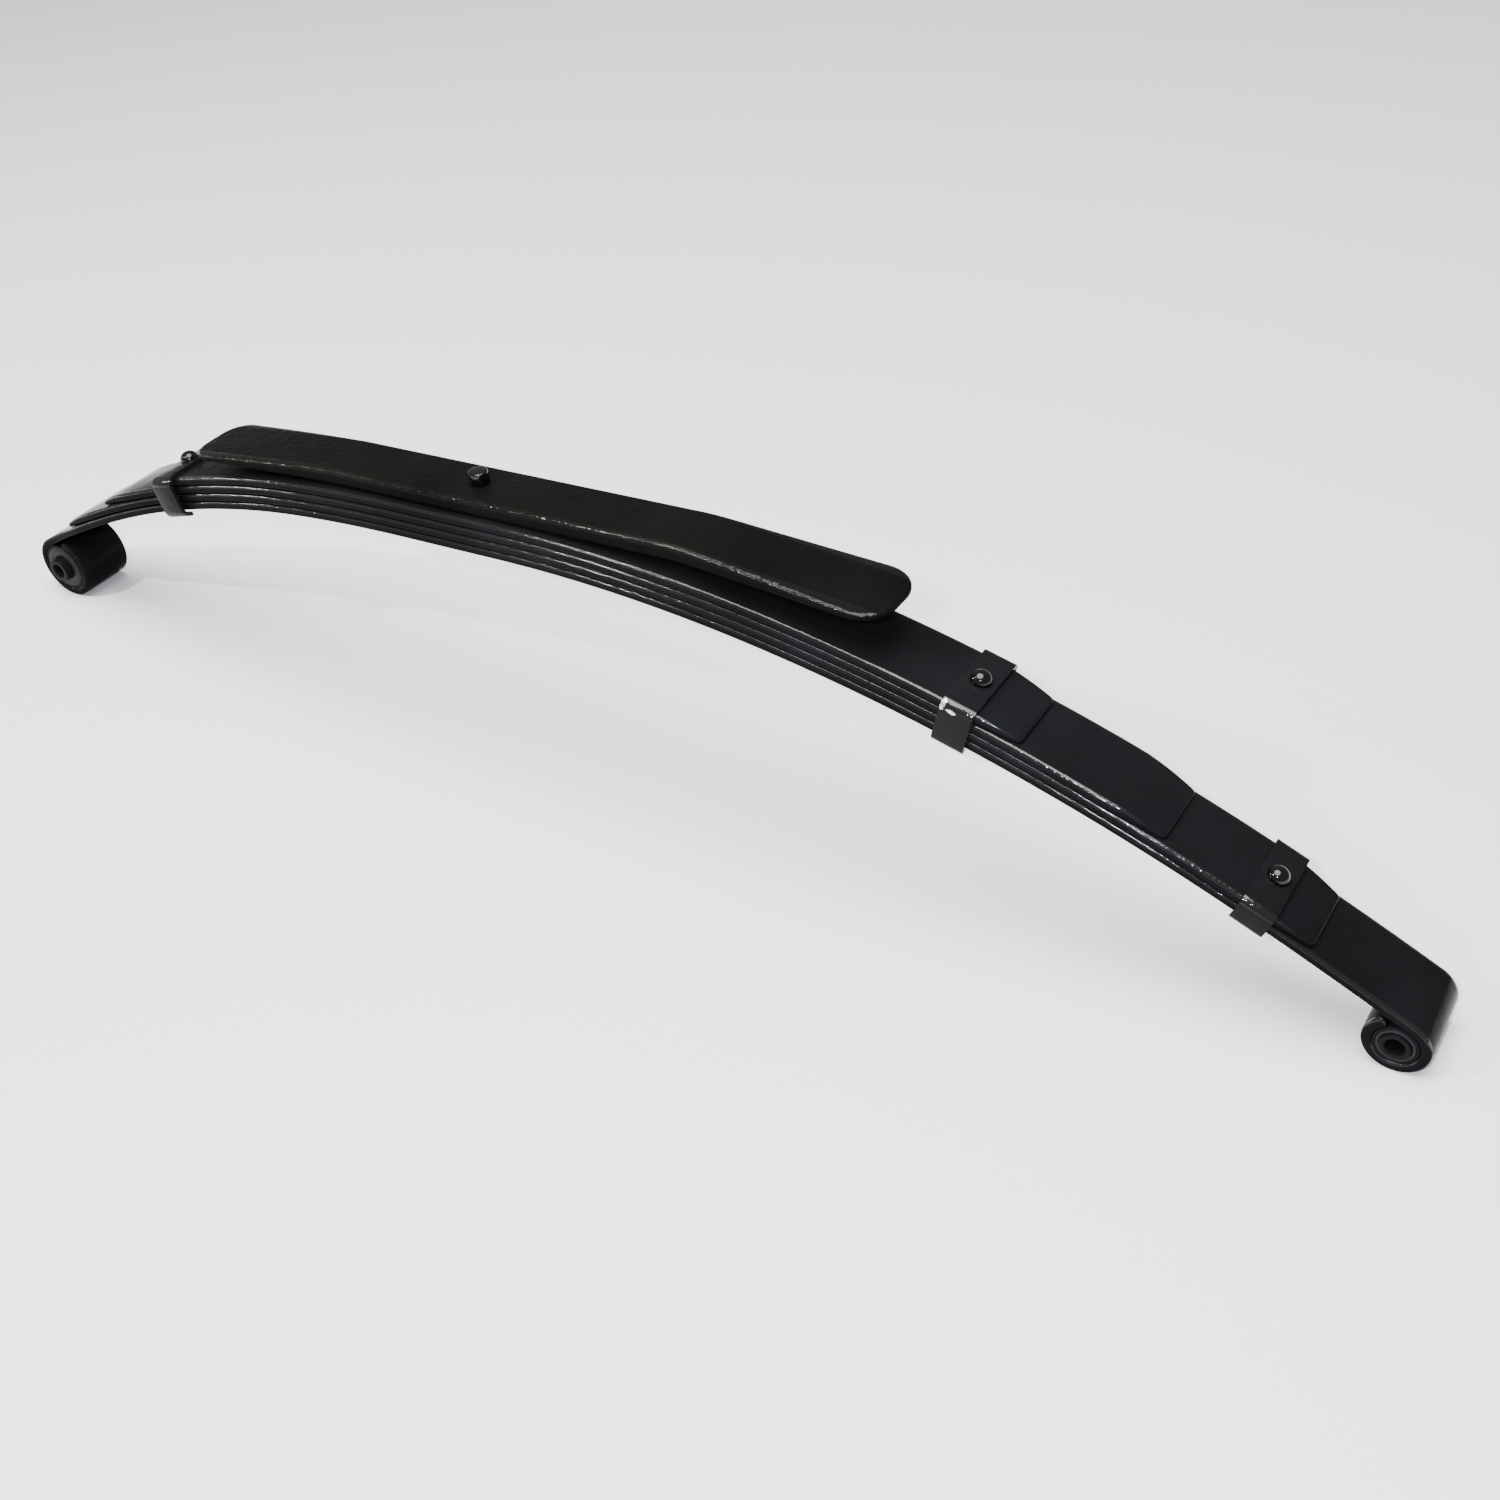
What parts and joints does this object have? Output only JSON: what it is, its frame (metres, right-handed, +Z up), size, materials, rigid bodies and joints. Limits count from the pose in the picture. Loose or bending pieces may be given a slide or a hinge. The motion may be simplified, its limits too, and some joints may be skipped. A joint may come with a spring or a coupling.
{
  "type": "leaf spring",
  "caption": "Arched multi-leaf vehicle spring with rolled eyes and rubber bushes, riveted clips, a thick flat overload leaf and a round-headed centre bolt.",
  "frame": {"origin": "on the floor under the middle of the spring's length and width, as it stands on its two eyes", "axes": "+X along the length towards the small rear eye, +Y across the leaves, +Z up"},
  "size_m": [1.3458, 0.079, 0.2561],
  "materials": {
    "leaf_paint": "gloss black paint over spring steel",
    "overload_paint": "gloss black paint over a rough hammered surface",
    "clip_paint": "gloss black paint, chipped on one corner",
    "fastener_paint": "thick gloss black paint",
    "bush_steel": "painted over with the spring, semi-gloss",
    "bush_rubber": "paint-dusted black rubber"
  },
  "bodies": {
    "pack": {"main_leaf": "leaf_paint", "second_leaf": "leaf_paint", "third_leaf": "leaf_paint", "fourth_leaf": "leaf_paint", "overload_leaf": "overload_paint", "centre_bolt": "fastener_paint", "centre_bolt_nut": "fastener_paint"},
    "front_end": {"front_bush_shell": "bush_steel", "front_bush_rubber": "bush_rubber", "clip_front": "clip_paint", "rivet_front": "fastener_paint"},
    "rear_end": {"rear_bush_shell": "bush_steel", "rear_bush_rubber": "bush_rubber", "clip_rear_inner": "clip_paint", "rivet_rear_inner": "fastener_paint", "clip_rear_outer": "clip_paint", "rivet_rear_outer": "fastener_paint"},
    "front_core": {"front_bush_core": "bush_steel"},
    "rear_core": {"rear_bush_core": "bush_steel"}
  },
  "joints": [
    {"name": "front_flex", "type": "hinge", "parent": "pack", "child": "front_end", "pos_m": [-0.24585, 0, 0.2043], "axis": [0, 1, 0], "range_deg": [0, 5], "stiffness_Nm_per_rad": 4000, "deforming": ["main_leaf", "second_leaf", "third_leaf", "fourth_leaf"]},
    {"name": "rear_flex", "type": "hinge", "parent": "pack", "child": "rear_end", "pos_m": [0.10142, 0, 0.21443], "axis": [0, -1, 0], "range_deg": [0, 9], "stiffness_Nm_per_rad": 4000, "deforming": ["main_leaf", "second_leaf", "third_leaf", "fourth_leaf"]},
    {"name": "front_bush_twist", "type": "hinge", "parent": "front_end", "child": "front_core", "pos_m": [-0.64212, 0, 0.0308], "axis": [0, 1, 0], "range_deg": [-25, 25], "stiffness_Nm_per_rad": 20},
    {"name": "rear_bush_twist", "type": "hinge", "parent": "rear_end", "child": "rear_core", "pos_m": [0.64972, 0, 0.0232], "axis": [0, 1, 0], "range_deg": [-30, 30], "stiffness_Nm_per_rad": 20}
  ]
}
